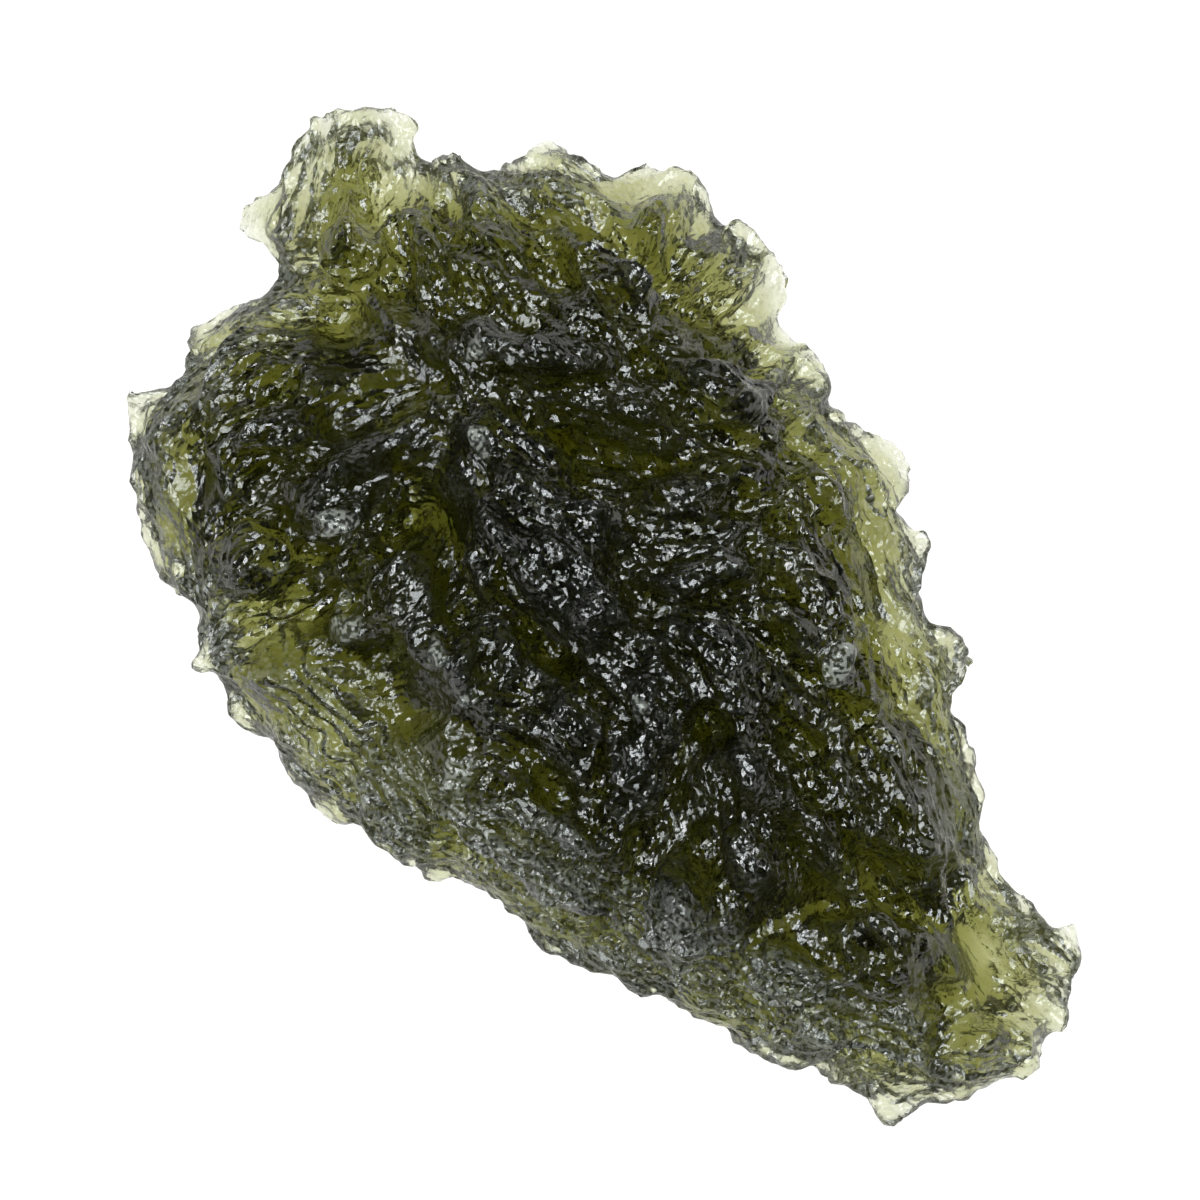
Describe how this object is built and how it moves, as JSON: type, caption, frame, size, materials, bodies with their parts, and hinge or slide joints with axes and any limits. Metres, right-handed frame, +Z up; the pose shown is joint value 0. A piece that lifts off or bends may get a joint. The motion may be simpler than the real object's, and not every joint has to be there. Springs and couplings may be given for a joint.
{
  "type": "moldavite",
  "caption": "Irregular lens-shaped piece of clear bottle-green natural glass, deeply etched into sharp crests, flutes and smooth hollows, with a thin thorny rim all round.",
  "frame": {"origin": "middle of the stone's length and width, on the surface that its lowest lumps rest on", "axes": "+X along the stone's length towards its pointed tail, +Y across it towards its toothed edge, +Z up"},
  "size_m": [0.0358, 0.0216, 0.0119],
  "materials": {
    "glass": "natural etched glass, shiny, olive green where thin and nearly black where thick"
  },
  "bodies": {
    "root": {"moldavite": "glass"}
  },
  "joints": []
}
